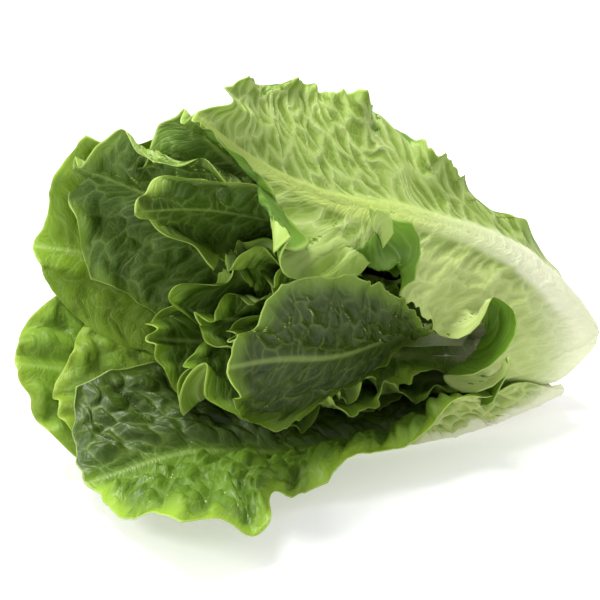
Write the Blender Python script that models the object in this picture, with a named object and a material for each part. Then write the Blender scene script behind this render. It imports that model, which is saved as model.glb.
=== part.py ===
"""A head of romaine lettuce lying on its side, opened towards the front left. Run it with
blender --background --python part.py, or from Blender's text editor.

Every leaf is a thin solid of its own, grown from a short stem. A leaf is described in the head's own
coordinates: t runs along the head's axis from the cut butt to the opening, r is the distance from that
axis, and phi turns about it, from 0 at the top through 90 at the front, 180 underneath and 270 at the back.
"""

import math
from dataclasses import dataclass

import bpy
import numpy as np
from mathutils.bvhtree import BVHTree

MM = 0.001  # lengths below are in millimetres, angles in degrees

# The head's axis, as it lies: the butt's centre is low, and the ring of leaf tips is wide.
BUTT = np.array((130.0, 66.0, 27.0))
OPENING = np.array((-75.0, -42.0, 87.0))
FLOOR_GAP = 0.3

# The stem inside the head, as (t, radius) from the cut butt to its blunt top.
STEM_PROFILE = ((-3, 0), (-3, 11), (-1.5, 14), (2, 15), (16, 11.5), (34, 7), (50, 3), (52, 0))
STEM_SIDES = 24
STEM_GAP = 1.2

# Each material's name, its colour, and its roughness.
COLOURS = (
    ("leaf_pale", (0.42, 0.50, 0.16), 0.5),
    ("leaf_green", (0.22, 0.34, 0.06), 0.45),
    ("leaf_dark", (0.10, 0.18, 0.03), 0.45),
    ("stem", (0.78, 0.76, 0.55), 0.55),
)

# A leaf's thickness: its blade, and the midrib that stands out on its outer side.
BLADE = 0.8
RIB_HALF_WIDTH = (13.0, 2.0)  # at the base and at the tip
RIB_HEIGHT = (4.0, 0.3)
SECTION_STEPS = 24  # taken from the rib out to a point of the blade

# Clear space that the leaves keep from each other, and how it is reached.
CLEARANCE = 0.9
LEAST_CLEARANCE = 0.6
REACH = 9.0
SETTLE_ROUNDS = 60
LAST_ROUNDS = 40
INNER_SHARE = 0.65  # of each move apart, how much the inner leaf makes


def unit(vector):
    return vector / np.linalg.norm(vector, axis=-1, keepdims=True)


AXIS = unit(OPENING - BUTT)
UP = unit(np.array((0.0, 0.0, 1.0)) - AXIS[2] * AXIS)
NEAR = np.cross(UP, AXIS)


def in_head(t, r, phi):
    """The point at t along the head's axis, r from it, and phi about it."""
    angle = math.radians(phi)
    return BUTT + t * AXIS + r * (math.cos(angle) * UP + math.sin(angle) * NEAR)


@dataclass
class Leaf:
    """A leaf. Pairs are for its side towards smaller phi, then its side towards larger phi. The values in
    each are evenly spaced from the leaf's base to its tip."""

    name: str
    rib: list  # (t, r, phi) along the midrib
    wide: tuple = ((10, 30, 44, 50, 30), (10, 30, 44, 50, 30))  # the blade's half-widths
    lift: tuple = ((0, 0), (0, 0))  # how far the blade turns at the rib, positive towards the axis
    wrap: tuple = ((1, 1, 0.4), (1, 1, 0.4))  # how closely it follows a circle about the axis
    roll: tuple = ((0, 0), (0, 0))  # how far its margin turns further
    twist: tuple = (0, 0)
    stout: float = 1.0  # its rib's height, as a share of the outer leaves'
    blunt: tuple = (0.2, 0.2)  # how far the end falls back at the margins, as a share of the length
    frill: float = 6.0  # the height of the margin's waves
    waves: int = 6
    phase: float = 0.0
    cells: tuple = (16, 10)
    on_floor: bool = False
    colour: str = "leaf_green"


# The leaves from the outside in, which is also the order in which they left the stem.
LEAVES = [
    Leaf(
        "leaf_back_low",
        [(3, 20, 228), (60, 50, 228), (130, 65, 228), (200, 63, 228), (266, 66, 228)],
        wide=((12, 24, 28, 44, 44), (13, 34, 52, 60, 48)),
        frill=8,
        phase=0.6,
        on_floor=True,
        blunt=(0.12, 0.12),
    ),
    Leaf(
        "leaf_low",
        [(8, 18, 212), (60, 39, 214), (130, 53, 214), (195, 57, 212), (250, 62, 208)],
        wide=((10, 16, 18, 26, 30), (11, 34, 50, 56, 46)),
        wrap=((1, 1, 1, 1), (1, 1, 1, 1)),
        frill=7,
        phase=1.7,
        stout=0.6,
        on_floor=True,
        blunt=(0.12, 0.12),
        cells=(14, 8),
    ),
    Leaf(
        "leaf_bottom",
        [(4, 20, 150), (60, 46, 165), (142, 65, 177), (191, 68, 183), (243, 84, 178)],
        wide=((10, 42, 62, 52, 52, 92, 88), (14, 46, 54, 52, 52, 58, 52)),
        lift=((0, 0, 0, 0, -12, -16, -10), (0, 0, 0, 10, 20, 25, 30)),
        wrap=((1, 1, 1, 0.6, 0, -0.1, -0.1), (1, 0.9, 0.9, 1, 1.3, 1.5, 1.2)),
        roll=((0, -40, -80, -40, 0, 0), (0, 0, 0, 0, 30)),
        blunt=(0.0, 0.08),
        frill=4,
        on_floor=True,
        cells=(20, 12),
    ),
    Leaf(
        "leaf_top",
        [
            (-3, 24, 48),
            (24, 41, 37),
            (60, 57, 26),
            (120, 67, 21),
            (170, 69, 18),
            (205, 80, 15),
            (235, 97, 14),
        ],
        wide=((14, 18, 25, 35, 56, 56, 40), (34, 76, 80, 66, 50, 34, 30, 18, 10)),
        lift=((0, -10, -15, -15, -10), (0, 0)),
        wrap=((1, 0.5, 0.1, 0.1, 0.1), (1, 1, 1, 0.9, 0.6)),
        blunt=(0.1, 0.12),
        frill=7,
        cells=(20, 12),
        colour="leaf_pale",
    ),
    Leaf(
        "leaf_back",
        [(7, 18, 275), (60, 41, 275), (120, 55, 275), (190, 66, 275), (254, 84, 275)],
        wide=((12, 34, 50, 54, 44), (12, 36, 58, 74, 58)),
        stout=0.8,
        frill=8,
        phase=2.9,
        blunt=(0.12, 0.04),
        cells=(18, 12),
    ),
    Leaf(
        "leaf_back_top",
        [(12, 16, 335), (60, 36, 335), (130, 52, 335), (180, 68, 335), (220, 88, 335)],
        wide=((10, 30, 48, 58, 56), (10, 26, 34, 44, 40)),
        stout=0.6,
        frill=8,
        phase=4.1,
        blunt=(0.02, 0.12),
        colour="leaf_dark",
    ),
    Leaf(
        "leaf_back_high",
        [(14, 16, 305), (60, 35, 305), (130, 49, 305), (195, 66, 304), (248, 87, 303)],
        wide=((10, 32, 52, 64, 52), (10, 32, 48, 62, 50)),
        roll=((0, 0), (0, 0, 0, 60, 60)),
        stout=0.5,
        frill=10,
        phase=5.3,
        blunt=(0.12, 0.12),
        cells=(18, 12),
        colour="leaf_dark",
    ),
    Leaf(
        "leaf_curled_tip",
        [(16, 14, 355), (60, 28, 352), (110, 42, 350), (166, 50, 352), (205, 51, 352), (244, 48, 350)],
        wide=((9, 22, 32, 38, 30), (9, 18, 24, 36, 30)),
        roll=((0, 0, 0, 90, 90), (0, 0, 0, 70, 80)),
        twist=(0, 0, 0, -60, -75),
        stout=0.4,
        frill=4,
        phase=0.3,
    ),
    Leaf(
        "leaf_inner_1",
        [(18, 13, 240), (60, 27, 240), (130, 38, 240), (212, 46, 240)],
        wide=((9, 22, 36, 48, 36), (9, 22, 36, 48, 36)),
        stout=0.3,
        frill=9,
        phase=1.1,
        cells=(14, 10),
        colour="leaf_dark",
    ),
    Leaf(
        "leaf_inner_2",
        [(20, 12, 285), (60, 26, 285), (130, 36, 285), (217, 46, 285)],
        wide=((9, 22, 36, 48, 36), (9, 22, 36, 48, 36)),
        stout=0.3,
        frill=9,
        phase=2.3,
        cells=(14, 10),
        colour="leaf_dark",
    ),
    Leaf(
        "leaf_inner_3",
        [(22, 11, 205), (60, 24, 205), (130, 34, 205), (202, 44, 205)],
        wide=((9, 20, 34, 46, 34), (9, 20, 34, 46, 34)),
        stout=0.3,
        frill=9,
        phase=3.4,
        cells=(14, 8),
        colour="leaf_dark",
    ),
    Leaf(
        "leaf_inner_4",
        [(24, 11, 320), (60, 24, 320), (130, 33, 320), (207, 42, 320)],
        wide=((8, 18, 32, 42, 32), (8, 18, 28, 38, 30)),
        stout=0.3,
        frill=8,
        phase=4.6,
        cells=(14, 8),
        colour="leaf_dark",
    ),
    Leaf(
        "leaf_inner_5",
        [(26, 10, 260), (60, 19, 260), (120, 26, 260), (192, 30, 260)],
        wide=((7, 12, 24, 36, 26), (7, 12, 24, 36, 26)),
        wrap=((0.6, 0.6, 0.6), (0.6, 0.6, 0.6)),
        stout=0.3,
        frill=8,
        phase=5.8,
        cells=(12, 8),
        colour="leaf_dark",
    ),
    Leaf(
        "leaf_inner_6",
        [(28, 9, 225), (60, 15, 225), (120, 22, 225), (182, 27, 225)],
        wide=((7, 11, 22, 36, 26), (7, 11, 22, 36, 26)),
        wrap=((0.6, 0.6, 0.6), (0.6, 0.6, 0.6)),
        stout=0.3,
        frill=8,
        phase=0.9,
        cells=(12, 8),
        colour="leaf_dark",
    ),
    Leaf(
        "leaf_inner_7",
        [(30, 8, 310), (60, 15, 310), (120, 22, 310), (185, 28, 310)],
        wide=((7, 11, 20, 32, 24), (7, 11, 20, 32, 24)),
        wrap=((0.6, 0.6, 0.6), (0.6, 0.6, 0.6)),
        stout=0.3,
        frill=7,
        phase=2.1,
        cells=(12, 8),
        colour="leaf_dark",
    ),
    Leaf(
        "leaf_middle",
        [
            (55, 3, 285),
            (72, 3, 300),
            (90, 7, 40),
            (112, 18, 75),
            (153, 37, 92),
            (197, 52, 90),
            (216, 60, 92),
        ],
        wide=((4, 8, 18, 30, 40, 42, 26), (4, 8, 24, 44, 44, 48, 46)),
        wrap=((0.1, 0), (0.1, 0)),
        stout=0.5,
        frill=5,
        phase=3.3,
        blunt=(0.12, 0.0),
        cells=(18, 12),
        colour="leaf_dark",
    ),
]


def smooth(x):
    """0 below 0 and 1 above 1, with a soft rise between."""
    x = np.clip(x, 0.0, 1.0)
    return x * x * (3 - 2 * x)


def along(values, f):
    """A leaf's values, evenly spaced from base to tip, blended at fractions f of its length."""
    values = np.asarray(values, float)
    place = np.clip(f, 0, 1) * (len(values) - 1)
    k = np.clip(place.astype(int), 0, len(values) - 2)
    return values[k] + (values[k + 1] - values[k]) * smooth(place - k)


def both_sides(values, v, f):
    """The same for a pair of threes, by which side of the rib v is on."""
    return np.where(v < 0, along(values[0], f), along(values[1], f))


class Rib:
    """A midrib's curve, read evenly along its length, with a frame carried along it without turning."""

    SAMPLES = 160

    def __init__(self, leaf):
        knots = np.array([in_head(*point) for point in leaf.rib])
        at = np.concatenate(([0], np.cumsum(np.linalg.norm(np.diff(knots, axis=0), axis=1))))
        slopes = np.gradient(knots, at, axis=0)
        s = np.linspace(0, at[-1], 4 * self.SAMPLES)
        k = np.clip(np.searchsorted(at, s, side="right") - 1, 0, len(at) - 2)
        gap = (at[k + 1] - at[k])[:, None]
        x = ((s - at[k])[:, None]) / gap
        curve = (
            knots[k] * (1 + 2 * x) * (1 - x) ** 2
            + knots[k + 1] * x**2 * (3 - 2 * x)
            + slopes[k] * gap * x * (1 - x) ** 2
            - slopes[k + 1] * gap * x**2 * (1 - x)
        )
        run = np.concatenate(([0], np.cumsum(np.linalg.norm(np.diff(curve, axis=0), axis=1))))
        self.length = run[-1]
        self.at = np.linspace(0, 1, self.SAMPLES)
        self.points = self.read_from(curve, run / self.length, self.at)
        self.along = unit(np.gradient(self.points, axis=0))
        self.side = self.carry_side(leaf.rib[0][2])
        self.inward = np.cross(self.side, self.along)
        offset = self.points - BUTT
        self.radius = np.linalg.norm(offset - (offset @ AXIS)[:, None] * AXIS, axis=1)

    @staticmethod
    def read_from(values, at, f):
        return np.stack([np.interp(f, at, values[:, i]) for i in range(3)], axis=-1)

    def carry_side(self, phi):
        """The sideways direction: round the axis at the base, and then carried along the curve."""
        angle = math.radians(phi)
        side = -math.sin(angle) * UP + math.cos(angle) * NEAR
        sides = []
        for forward in self.along:
            side = unit(side - (side @ forward) * forward)
            sides.append(side)
        return np.array(sides)

    def frame(self, f, twist):
        """Points, side and inward directions at fractions f, turned by twist."""
        points = self.read_from(self.points, self.at, f)
        points = points + np.maximum(f - 1, 0)[..., None] * self.length * self.along[-1]
        side = unit(self.read_from(self.side, self.at, f))
        inward = unit(self.read_from(self.inward, self.at, f))
        turn = np.radians(twist)[..., None]
        return (
            points,
            np.cos(turn) * side + np.sin(turn) * inward,
            np.cos(turn) * inward - np.sin(turn) * side,
        )


def waves(leaf, angle):
    """The margin's waves, uneven as on a real leaf, by the angle round the blade's middle."""
    n, p = leaf.waves, leaf.phase
    return (
        0.60 * np.sin(n * angle + p)
        + 0.35 * np.sin((1.6 * n) * angle + 2.3 * p + 1.0)
        + 0.20 * np.sin((2.7 * n) * angle + 4.1 * p + 2.0)
    )


def normals_of(grid):
    """The inward normal at each point of a leaf's grid."""
    return unit(np.cross(np.gradient(grid, axis=1), np.gradient(grid, axis=0)))


def leaf_grid(leaf, cells):
    """The middle surface of a leaf as a grid of points, and its rib's height at each."""
    u = np.linspace(0, 1, cells[0] + 1)[:, None] * np.ones((1, cells[1] + 1))
    spread = np.linspace(-1, 1, cells[1] + 1)[None, :] * np.ones_like(u)
    v = np.sign(spread) * np.abs(spread) ** 1.4
    f = u - np.where(v < 0, leaf.blunt[0], leaf.blunt[1]) * u**3 * v**2
    rib = Rib(leaf)
    points, side, inward = rib.frame(f, along(leaf.twist, f))
    half = both_sides(leaf.wide, v, u)
    across = np.abs(v) * half
    radius = np.maximum(np.interp(f, rib.at, rib.radius), 12.0)
    out = np.zeros_like(u)
    up = np.zeros_like(u)
    for k in range(SECTION_STEPS):
        w = across * (k + 0.5) / SECTION_STEPS
        theta = (
            np.radians(both_sides(leaf.lift, v, f))
            + both_sides(leaf.wrap, v, f) * w / radius
            + np.radians(both_sides(leaf.roll, v, f)) * smooth((w / half - 0.55) / 0.45)
        )
        out += np.cos(theta) * across / SECTION_STEPS
        up += np.sin(theta) * across / SECTION_STEPS
    grid = points + side * (np.sign(v) * out)[..., None] + inward * up[..., None]
    angle = np.arctan2(v * half, (f - 0.6) * rib.length)
    edge = (np.abs(v) ** 6 + np.clip((u - 0.4) / 0.6, 0, 1) ** 6) ** (1 / 6)
    frill = leaf.frill * np.clip(edge, 0, 1) ** 2.5 * smooth((u - 0.08) / 0.3) * waves(leaf, angle)
    grid += normals_of(grid) * frill[..., None]
    width = along((RIB_HALF_WIDTH[0], RIB_HALF_WIDTH[0] * 0.4, RIB_HALF_WIDTH[1]), f)
    height = along((RIB_HEIGHT[0], RIB_HEIGHT[0] * 0.55, RIB_HEIGHT[1]), f)
    return grid, leaf.stout * height * np.exp(-((across / width) ** 2))


def solid_faces(rows, columns):
    """The faces of a leaf's solid: its inner side's triangles, its outer side's, and its rim's."""
    count = (rows + 1) * (columns + 1)
    index = np.arange(count).reshape(rows + 1, columns + 1)
    a, b, c, d = (k.ravel() for k in (index[:-1, :-1], index[:-1, 1:], index[1:, :-1], index[1:, 1:]))
    inside = np.concatenate((np.stack((a, b, d), 1), np.stack((a, d, c), 1)))
    rim = np.concatenate((index[0, :-1], index[:-1, -1], index[-1, :0:-1], index[:0:-1, 0]))
    beside = np.roll(rim, -1)
    edge = (np.stack((beside, rim, rim + count), 1), np.stack((beside, rim + count, beside + count), 1))
    return np.concatenate((inside, inside[:, ::-1] + count) + edge)


def solid_points(grid, rib, lowest):
    """The points of a leaf's solid: the blade's two sides, with the rib standing out on the outer one."""
    normals = normals_of(grid)
    inner = grid + normals * BLADE / 2
    outer = grid - normals * (BLADE / 2 + rib[..., None])
    points = np.concatenate((inner.reshape(-1, 3), outer.reshape(-1, 3)))
    points[:, 2] = np.maximum(points[:, 2], lowest)
    return points


class Skin:
    """A leaf's middle surface while the leaves are being moved clear of each other."""

    def __init__(self, grid, rib):
        rows, columns = grid.shape[0] - 1, grid.shape[1] - 1
        index = np.arange((rows + 1) * (columns + 1)).reshape(rows + 1, columns + 1)
        a, b, c, d = index[:-1, :-1], index[:-1, 1:], index[1:, :-1], index[1:, 1:]
        self.shape = grid.shape
        self.solid_faces = solid_faces(rows, columns)
        self.start = grid.reshape(-1, 3).copy()
        self.points = self.start.copy()
        self.rib = rib.ravel()
        self.triangles = np.concatenate(
            (np.stack((a, b, d), -1).reshape(-1, 3), np.stack((a, d, c), -1).reshape(-1, 3))
        )
        self.faces = [tuple(face) for face in self.triangles.tolist()]
        # Places that are watched: every vertex, and halfway between the two ends of every edge.
        pairs = [(index, index), (index[:, :-1], index[:, 1:]), (index[:-1], index[1:]), (a, d)]
        self.ends = np.array([np.concatenate([p[k].ravel() for p in pairs]) for k in (0, 1)])
        row, column = np.meshgrid(np.arange(rows + 1), np.arange(columns + 1), indexing="ij")
        to_rim = np.minimum(np.minimum(row, rows - row), np.minimum(column, columns - column))
        self.to_rim = to_rim.ravel().astype(float)
        # The vertex that each one is drawn back towards: the next one in from the nearest margin.
        from_side = np.minimum(column, columns - column)
        at_tip = rows - row < from_side
        inner_row = np.where(at_tip, row - 1, row)
        inner_column = np.where(at_tip, column, column - np.sign(column - columns // 2))
        self.next_in = (inner_row * (columns + 1) + inner_column).ravel()
        self.drawn_back = np.zeros(len(self.points))
        self.push = np.zeros_like(self.points)
        self.pushes = np.zeros(len(self.points))
        self.look_again()

    def look_again(self):
        self.tree = BVHTree.FromPolygons(self.points.tolist(), self.faces)
        self.normals = normals_of(self.points.reshape(self.shape)).reshape(-1, 3)
        self.watched = (self.points[self.ends[0]] + self.points[self.ends[1]]) / 2
        self.low = self.points.min(axis=0) - REACH
        self.high = self.points.max(axis=0) + REACH

    def add_push(self, vertices, weights, pushes):
        """Note pushes on places between vertices: all three are arrays with a row for each place."""
        for k in range(vertices.shape[1]):
            np.add.at(self.push, vertices[:, k], weights[:, k, None] * pushes)
            np.add.at(self.pushes, vertices[:, k], weights[:, k])

    def move(self, evenness):
        """Make the noted pushes, evened out over the leaf so that it keeps its shape."""
        self.points += self.push / np.maximum(self.pushes, 0.5)[:, None]
        self.points += self.drawn_back[:, None] * (self.points[self.next_in] - self.points)
        self.drawn_back[:] = 0
        moved = (self.points - self.start).reshape(self.shape)
        padded = np.pad(moved, ((1, 1), (1, 1), (0, 0)), mode="edge")
        mean = (padded[:-2, 1:-1] + padded[2:, 1:-1] + padded[1:-1, :-2] + padded[1:-1, 2:]) / 4
        moved += evenness * (mean - moved)
        self.points = self.start + moved.reshape(-1, 3)
        self.smooth_out(self.folded())
        self.push[:] = 0
        self.pushes[:] = 0

    def smooth_out(self, vertices):
        """Bring vertices halfway to the mean of those around them."""
        grid = self.points.reshape(self.shape)
        padded = np.pad(grid, ((1, 1), (1, 1), (0, 0)), mode="reflect", reflect_type="odd")
        mean = (padded[:-2, 1:-1] + padded[2:, 1:-1] + padded[1:-1, :-2] + padded[1:-1, 2:]) / 4
        self.points[vertices] += 0.5 * (mean.reshape(-1, 3) - self.points)[vertices]

    def solid_tree(self):
        points = solid_points(self.points.reshape(self.shape), self.rib.reshape(self.shape[:2]), -REACH)
        return BVHTree.FromPolygons(points.tolist(), self.solid_faces.tolist())

    def folded(self):
        """The vertices of triangles that have turned far from the leaf around them."""
        corners = self.points[self.triangles]
        facing = unit(np.cross(corners[:, 1] - corners[:, 0], corners[:, 2] - corners[:, 0]) + 1e-9)
        around = np.zeros_like(self.points)
        for k in range(3):
            np.add.at(around, self.triangles[:, k], facing)
        around = unit(around + 1e-9)
        agreement = np.einsum("nkd,nd->nk", around[self.triangles], facing).min(axis=1)
        return np.unique(self.triangles[agreement < 0.6])


def keep_apart(outer, inner, clearance, stuck):
    """Note pushes that bring the inner leaf to the outer leaf's inner side, clear of it. The number of
    places that were too close is returned."""
    if np.any(outer.high < inner.low) or np.any(inner.high < outer.low):
        return 0
    close = 0
    for moving, other, side in ((inner, outer, 1), (outer, inner, -1)):
        near = np.flatnonzero(np.all((moving.watched > other.low) & (moving.watched < other.high), axis=1))
        found = [other.tree.find_nearest(point, REACH) for point in moving.watched[near].tolist()]
        kept = [k for k, hit in enumerate(found) if hit[0] is not None]
        if not kept:
            continue
        near = near[kept]
        at = np.array([found[k][0] for k in kept])
        corners = other.triangles[[found[k][2] for k in kept]]
        weights = shares_of_corners(other.points[corners], at)
        normal = unit(np.einsum("nk,nkd->nd", weights, other.normals[corners]))
        rib = np.einsum("nk,nk->n", weights, other.rib[corners])
        ends = moving.ends[:, near]
        rib = np.maximum(moving.rib[ends[0]], moving.rib[ends[1]]) if side > 0 else rib
        wanted = BLADE + clearance + rib
        offset = moving.watched[near] - at
        distance = np.linalg.norm(offset, axis=1)
        height = side * np.einsum("nd,nd->n", offset, normal)
        beside = np.einsum("nk,nk->n", weights, other.to_rim[corners]) < 0.02
        direction = np.where(
            (beside & (distance > 0.01))[:, None], offset / np.maximum(distance, 0.01)[:, None], side * normal
        )
        short = wanted - np.where(beside, distance, height)
        short = np.where(height > 0.8 * wanted, np.minimum(short, wanted - distance), short)
        pick = short > 0
        close += int(pick.sum())
        push = direction[pick] * short[pick, None]
        share = INNER_SHARE if moving is inner else 1 - INNER_SHARE
        moving.add_push(ends[:, pick].T, np.full((pick.sum(), 2), 0.5), share * push)
        other.add_push(corners[pick], weights[pick], -(1 - share) * push)
    crossing = outer.tree.overlap(inner.tree)
    if crossing:
        first, second = (np.array(k) for k in zip(*crossing))
        normal = unit(outer.normals[outer.triangles[first]].sum(axis=1))
        third = np.full((len(crossing), 3), 1.0)
        inner.add_push(inner.triangles[second], third, INNER_SHARE * 2.5 * normal)
        outer.add_push(outer.triangles[first], third, (INNER_SHARE - 1) * 2.5 * normal)
        if stuck:
            inner.drawn_back[np.unique(inner.triangles[second])] = 0.15
            outer.drawn_back[np.unique(outer.triangles[first])] = 0.05
        close += len(crossing)
    return close


def shares_of_corners(corners, at):
    """How far each corner of a triangle counts towards a place in it."""
    a, b, c = corners[:, 0], corners[:, 1], corners[:, 2]
    across = np.cross(b - a, c - a)
    area = np.maximum(np.einsum("nd,nd->n", across, across), 1e-9)
    of_b = np.einsum("nd,nd->n", np.cross(at - a, c - a), across) / area
    of_c = np.einsum("nd,nd->n", np.cross(b - a, at - a), across) / area
    weights = np.clip(np.stack((1 - of_b - of_c, of_b, of_c), axis=1), 0, 1)
    return weights / weights.sum(axis=1, keepdims=True)


def keep_off_stem_and_floor(skin, on_floor):
    """Move a leaf's vertices out of the stem and up from the floor."""
    offset = skin.points - BUTT
    t = offset @ AXIS
    sideways = offset - t[:, None] * AXIS
    distance = np.linalg.norm(sideways, axis=1)
    wanted = np.interp(t, *zip(*STEM_PROFILE[1:]), right=-BLADE) + BLADE / 2 + STEM_GAP
    wanted = np.where(t < STEM_PROFILE[-1][0] + STEM_GAP, wanted, 0)
    short = np.maximum(wanted - distance, 0)
    skin.points += sideways / np.maximum(distance, 0.1)[:, None] * short[:, None]
    lowest = BLADE / 2 + skin.rib + (0 if on_floor else FLOOR_GAP)
    skin.points[:, 2] = np.maximum(skin.points[:, 2], lowest)


def part_solids(skins):
    """Note pushes where the leaves' solids still cross, and smooth where one crosses itself. The number
    of crossings is returned."""
    crossings = 0
    trees = [skin.solid_tree() for skin in skins]
    for i, outer in enumerate(skins):
        own = np.array(trees[i].overlap(trees[i]), int).reshape(-1, 2)
        first, second = (outer.solid_faces[own[:, k]] for k in (0, 1))
        apart = ~np.any(first[:, :, None] == second[:, None, :], axis=(1, 2))
        if apart.any():
            crossings += int(apart.sum())
            outer.smooth_out(np.unique(first[apart] % len(outer.points)))
        for j in range(i + 1, len(skins)):
            inner = skins[j]
            found = trees[i].overlap(trees[j])
            if not found:
                continue
            crossings += len(found)
            first, second = (np.array(k) for k in zip(*found))
            first = outer.solid_faces[first] % len(outer.points)
            second = inner.solid_faces[second] % len(inner.points)
            normal = unit(outer.normals[first].sum(axis=1))
            third = np.full((len(found), 3), 1.0)
            inner.add_push(second, third, INNER_SHARE * normal)
            outer.add_push(first, third, (INNER_SHARE - 1) * normal)
            inner.drawn_back[np.unique(second)] = 0.1
    return crossings


def settle(grids):
    """Move the leaves, given from the outside in, until each lies clear of all the others."""
    skins = [Skin(grid, rib) for grid, rib in grids]
    for step in range(SETTLE_ROUNDS + LAST_ROUNDS):
        last = step >= SETTLE_ROUNDS
        clearance = LEAST_CLEARANCE if last else CLEARANCE
        close = 0
        for i, outer in enumerate(skins):
            for inner in skins[i + 1 :]:
                close += keep_apart(outer, inner, clearance, step > 0.3 * SETTLE_ROUNDS)
        crossings = part_solids(skins) if last else None
        if crossings == 0:
            break
        evenness = 0.6 * max(0.0, 1 - step / (0.8 * SETTLE_ROUNDS))
        for leaf, skin in zip(LEAVES, skins):
            skin.move(evenness)
            keep_off_stem_and_floor(skin, leaf.on_floor)
            skin.look_again()
    return [(skin.points.reshape(skin.shape), rib) for skin, (_, rib) in zip(skins, grids)]


def rest_on_floor(z, soft=3.0):
    """Heights with all that would hang below the floor laid out on it."""
    return soft * np.logaddexp(0, z / soft)


def new_object(name, points, faces, colour):
    """An object from points in millimetres."""
    mesh = bpy.data.meshes.new(name)
    mesh.from_pydata((np.asarray(points) * MM).tolist(), [], faces)
    mesh.materials.append(bpy.data.materials[colour])
    mesh.update()
    made = bpy.data.objects.new(name, mesh)
    bpy.context.scene.collection.objects.link(made)
    return made


def add_leaf(leaf, grid, rib):
    """A leaf's closed solid."""
    points = solid_points(grid, rib, 0 if leaf.on_floor else FLOOR_GAP)
    faces = solid_faces(grid.shape[0] - 1, grid.shape[1] - 1)
    return new_object(leaf.name, points, faces.tolist(), leaf.colour)


def add_stem():
    """The stem inside the leaves, turned about the head's axis."""
    turns = np.radians(np.arange(STEM_SIDES) * 360 / STEM_SIDES)
    around = np.cos(turns)[:, None] * UP + np.sin(turns)[:, None] * NEAR
    rings = [BUTT + t * AXIS + r * around for t, r in STEM_PROFILE[1:-1]]
    ends = [BUTT + STEM_PROFILE[0][0] * AXIS, BUTT + STEM_PROFILE[-1][0] * AXIS]
    points = np.concatenate(rings + [np.array(ends)])
    butt, top = len(points) - 2, len(points) - 1
    last = (len(rings) - 1) * STEM_SIDES
    faces = []
    for k in range(STEM_SIDES):
        n = (k + 1) % STEM_SIDES
        faces.append((butt, k, n))
        faces.append((top, last + n, last + k))
        for low in range(0, last, STEM_SIDES):
            faces.append((low + k, low + STEM_SIDES + k, low + STEM_SIDES + n, low + n))
    return new_object("stem", points, faces, "stem")


def add_material(name, colour, roughness):
    material = bpy.data.materials.new(name)
    material.use_nodes = True
    material.diffuse_color = (*colour, 1)
    shader = material.node_tree.nodes["Principled BSDF"]
    shader.inputs["Base Color"].default_value = (*colour, 1)
    shader.inputs["Roughness"].default_value = roughness
    shader.inputs["Metallic"].default_value = 0.0


def settled_leaves():
    """Every leaf's settled grid and its rib's height there."""
    grids = []
    for leaf in LEAVES:
        grid, rib = leaf_grid(leaf, leaf.cells)
        grid[..., 2] = rest_on_floor(grid[..., 2])
        grids.append((grid, rib))
    return settle(grids)


def stand_on_origin():
    """Move everything so that the middle of the underside of its bounding box is at the origin."""
    made = list(bpy.context.scene.objects)
    points = np.array([vertex.co for thing in made for vertex in thing.data.vertices])
    low, high = points.min(axis=0), points.max(axis=0)
    shift = np.array(((low[0] + high[0]) / 2, (low[1] + high[1]) / 2, low[2]))
    for thing in made:
        for vertex in thing.data.vertices:
            vertex.co = np.array(vertex.co) - shift


def main():
    for old in list(bpy.data.objects):
        bpy.data.objects.remove(old)
    for name, colour, roughness in COLOURS:
        add_material(name, colour, roughness)
    add_stem()
    for leaf, (grid, rib) in zip(LEAVES, settled_leaves()):
        add_leaf(leaf, grid, rib)
    stand_on_origin()


main()
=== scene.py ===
"""The looks of a head of romaine lettuce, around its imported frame."""

import math
from dataclasses import dataclass

import bpy
import numpy as np
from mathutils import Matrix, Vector
from mathutils.bvhtree import BVHTree


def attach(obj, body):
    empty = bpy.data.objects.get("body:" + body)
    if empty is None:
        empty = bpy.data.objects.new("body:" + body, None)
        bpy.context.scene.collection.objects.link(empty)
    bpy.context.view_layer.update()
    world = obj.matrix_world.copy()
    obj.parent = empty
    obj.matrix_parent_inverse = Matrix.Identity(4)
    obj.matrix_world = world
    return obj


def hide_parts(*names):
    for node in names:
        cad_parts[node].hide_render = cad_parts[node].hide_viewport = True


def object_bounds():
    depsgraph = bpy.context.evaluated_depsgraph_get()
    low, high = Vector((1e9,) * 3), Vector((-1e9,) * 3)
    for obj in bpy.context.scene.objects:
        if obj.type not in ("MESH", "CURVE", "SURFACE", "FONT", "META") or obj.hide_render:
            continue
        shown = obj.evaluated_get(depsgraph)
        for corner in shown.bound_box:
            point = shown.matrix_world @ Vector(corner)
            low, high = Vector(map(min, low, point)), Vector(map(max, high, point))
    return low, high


MM = 0.001  # lengths below are in millimetres, angles in degrees

# The head's axis, as it lies: the butt's centre is low, and the ring of leaf tips is wide.
BUTT = np.array((130.0, 66.0, 27.0))
OPENING = np.array((-75.0, -42.0, 87.0))
FLOOR_GAP = 0.3

# The stem inside the head, as (t, radius) from the cut butt to its blunt top.
STEM_PROFILE = ((-3, 0), (-3, 11), (-1.5, 14), (2, 15), (16, 11.5), (34, 7), (50, 3), (52, 0))
STEM_GAP = 1.2

# A leaf's thickness: its blade, and the midrib that stands out on its outer side.
BLADE = 0.8
RIB_HALF_WIDTH = (13.0, 2.0)  # at the base and at the tip
RIB_HEIGHT = (4.0, 0.3)

# Clear space that the leaves keep from each other, and how it is reached.
CLEARANCE = 0.9
LEAST_CLEARANCE = 0.6
REACH = 9.0
SETTLE_ROUNDS = 60
LAST_ROUNDS = 40
INNER_SHARE = 0.65  # of each move apart, how much the inner leaf makes
CROSSING_PUSH = 2.5  # how far two leaves that cross are pushed apart at once
FOLDED = 0.6  # a triangle that agrees less than this with those around it is a fold
EVENNESS = 0.6  # how much each move is evened out over its leaf at first
EVENED_UNTIL = 0.8  # the share of the rounds after which it no longer is
STUCK_AFTER = 0.3  # the share after which leaves that still cross are drawn back

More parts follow.
